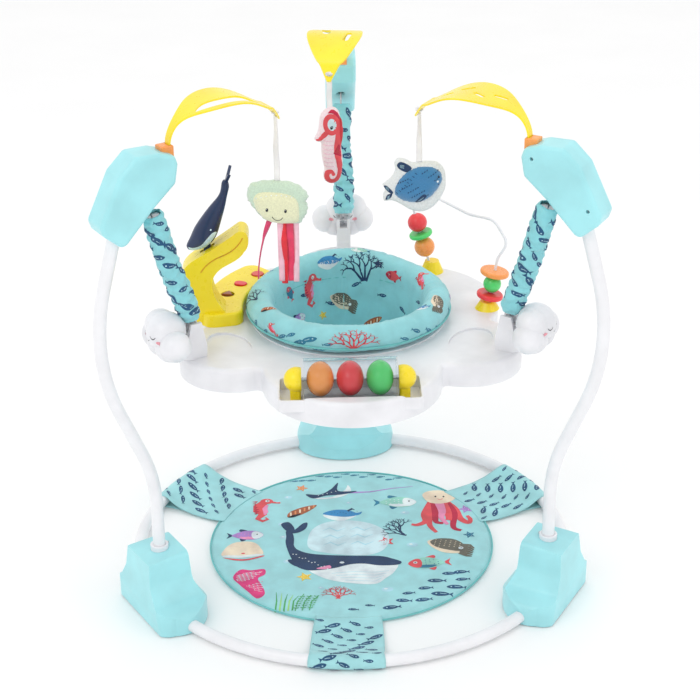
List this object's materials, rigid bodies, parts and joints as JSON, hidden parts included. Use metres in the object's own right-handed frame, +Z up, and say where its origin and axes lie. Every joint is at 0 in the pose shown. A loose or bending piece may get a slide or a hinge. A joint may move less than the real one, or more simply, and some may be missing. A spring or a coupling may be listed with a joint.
{
  "type": "activity jumper",
  "caption": "Baby activity jumper: ring-based bowed frame, sprung toy tray with a turning bucket seat, toy arches and a padded play mat.",
  "frame": {"origin": "on the floor plane, below the centre of the seat and of the floor ring", "axes": "+Z up, -Y towards the front with the roller drum, +X to the right seen from the front"},
  "size_m": [0.8534, 0.9046, 0.9285],
  "materials": {
    "aqua_plastic": "semi-gloss moulded",
    "white_tube": "powder coated",
    "yellow_plastic": "gloss moulded",
    "white_plastic": "gloss moulded",
    "grey_rubber": "matt",
    "steel": "zinc plated",
    "teal_print_fabric": "woven polyester with sea print",
    "orange_plastic": "gloss moulded",
    "clear_plastic": "clear polycarbonate",
    "red_plastic": "gloss moulded",
    "green_plastic": "gloss moulded",
    "brown_plastic": "gloss moulded",
    "navy_plastic": "satin moulded",
    "white_ribbon": "woven ribbon",
    "green_plush": "short plush",
    "pink_satin": "satin ribbon",
    "blue_plush": "short plush",
    "coral_plush": "short plush"
  },
  "bodies": {
    "stand": {"foot_rear": "aqua_plastic", "foot_left": "aqua_plastic", "foot_right": "aqua_plastic", "upright_rear": "white_tube", "upright_left": "white_tube", "upright_right": "white_tube", "housing_rear_a": "aqua_plastic", "housing_rear_b": "aqua_plastic", "housing_left_a": "aqua_plastic", "housing_left_b": "aqua_plastic", "housing_right_a": "aqua_plastic", "housing_right_b": "aqua_plastic", "arch_rear": "yellow_plastic", "arch_left": "yellow_plastic", "arch_right": "yellow_plastic", "base_tube_front": "white_tube", "base_tube_right": "white_tube", "base_tube_left": "white_tube", "foot_base_plates": "aqua_plastic", "foot_pads": "grey_rubber", "upright_collars": "white_plastic", "spring_anchor_pins": "steel", "frame_screws": "steel", "bounce_springs": "steel", "spring_sleeves": "teal_print_fabric", "arch_sockets": "orange_plastic", "play_mat": "teal_print_fabric"},
    "tray": {"cloud_rear": "white_plastic", "cloud_left": "white_plastic", "cloud_right": "white_plastic", "spring_hook_brackets": "white_plastic", "tray_top": "white_plastic", "tray_bottom": "white_plastic", "tray_screws": "steel", "drum_brackets": "yellow_plastic", "drum_axle": "steel", "bead_posts": "yellow_plastic", "bead_wire": "white_plastic", "wave_toy_base": "yellow_plastic"},
    "seat": {"seat_ring": "white_plastic", "seat_fabric": "teal_print_fabric"},
    "drum": {"drum_shell": "clear_plastic", "drum_balls": "red_plastic"},
    "bead_orange_ball": {"bead_orange_ball": "orange_plastic"},
    "bead_green_disc": {"bead_green_disc": "green_plastic"},
    "bead_red_ball": {"bead_red_ball": "red_plastic"},
    "bead_red_disc": {"bead_red_disc": "red_plastic"},
    "bead_green_ball": {"bead_green_ball": "green_plastic"},
    "bead_orange_disc": {"bead_orange_disc": "orange_plastic"},
    "whale": {"whale": "navy_plastic"},
    "button_brown": {"button_brown": "brown_plastic"},
    "button_red": {"button_red": "red_plastic"},
    "button_coral": {"button_coral": "red_plastic"},
    "jellyfish_toy": {"jellyfish_ribbon": "white_ribbon", "jellyfish_plush": "green_plush", "jellyfish_tentacles": "pink_satin"},
    "puffer_toy": {"puffer_ribbon": "white_ribbon", "puffer_plush": "blue_plush"},
    "seahorse_toy": {"seahorse_ribbon": "white_ribbon", "seahorse_plush": "coral_plush"}
  },
  "joints": [
    {"name": "tray_bounce", "type": "slide", "parent": "stand", "child": "tray", "axis": [0, 0, 1], "range_m": [-0.09, 0], "stiffness_N_per_m": 1400, "springref_m": 0.045, "deforming": ["bounce_springs", "spring_sleeves"]},
    {"name": "seat_spin", "type": "hinge", "parent": "tray", "child": "seat", "pos_m": [0, 0, 0.48], "axis": [0, 0, 1], "continuous": true},
    {"name": "drum_roll", "type": "hinge", "parent": "tray", "child": "drum", "pos_m": [-0.0065, -0.285, 0.496], "axis": [1, 0, 0], "continuous": true},
    {"name": "bead_orange_ball_spin", "type": "hinge", "parent": "tray", "child": "bead_orange_ball", "pos_m": [0.163, 0.19, 0.48], "axis": [-0.27, 0, 0.9629], "continuous": true},
    {"name": "bead_green_disc_spin", "type": "hinge", "parent": "tray", "child": "bead_green_disc", "pos_m": [0.163, 0.19, 0.48], "axis": [-0.27, 0, 0.9629], "continuous": true},
    {"name": "bead_red_ball_spin", "type": "hinge", "parent": "tray", "child": "bead_red_ball", "pos_m": [0.163, 0.19, 0.48], "axis": [-0.27, 0, 0.9629], "continuous": true},
    {"name": "bead_red_disc_spin", "type": "hinge", "parent": "tray", "child": "bead_red_disc", "pos_m": [0.25, 0.017, 0.48], "axis": [0.1701, 0, 0.9854], "continuous": true},
    {"name": "bead_green_ball_spin", "type": "hinge", "parent": "tray", "child": "bead_green_ball", "pos_m": [0.25, 0.017, 0.48], "axis": [0.1701, 0, 0.9854], "continuous": true},
    {"name": "bead_orange_disc_spin", "type": "hinge", "parent": "tray", "child": "bead_orange_disc", "pos_m": [0.25, 0.017, 0.48], "axis": [0.1701, 0, 0.9854], "continuous": true},
    {"name": "whale_rock", "type": "hinge", "parent": "tray", "child": "whale", "pos_m": [-0.246, -0.006, 0.611], "axis": [0, 1, 0], "range_deg": [-9, 9], "stiffness_Nm_per_rad": 0.8},
    {"name": "button_brown_press", "type": "slide", "parent": "tray", "child": "button_brown", "axis": [0, 0, -1], "range_m": [0, 0.0025], "stiffness_N_per_m": 400, "springref_m": -0.001},
    {"name": "button_red_press", "type": "slide", "parent": "tray", "child": "button_red", "axis": [0, 0, -1], "range_m": [0, 0.0025], "stiffness_N_per_m": 400, "springref_m": -0.001},
    {"name": "button_coral_press", "type": "slide", "parent": "tray", "child": "button_coral", "axis": [0, 0, -1], "range_m": [0, 0.0025], "stiffness_N_per_m": 400, "springref_m": -0.001},
    {"name": "jellyfish_swing", "type": "hinge", "parent": "stand", "child": "jellyfish_toy", "pos_m": [-0.11951, -0.069, 0.876], "axis": [0.5, -0.866, 0], "range_deg": [-25, 25]},
    {"name": "puffer_swing", "type": "hinge", "parent": "stand", "child": "puffer_toy", "pos_m": [0.11951, -0.069, 0.876], "axis": [0.5, 0.866, 0], "range_deg": [-25, 25]},
    {"name": "seahorse_swing", "type": "hinge", "parent": "stand", "child": "seahorse_toy", "pos_m": [-0.02592, 0.13972, 0.876], "axis": [-0.9912, 0.1323, 0], "range_deg": [-25, 25]}
  ]
}
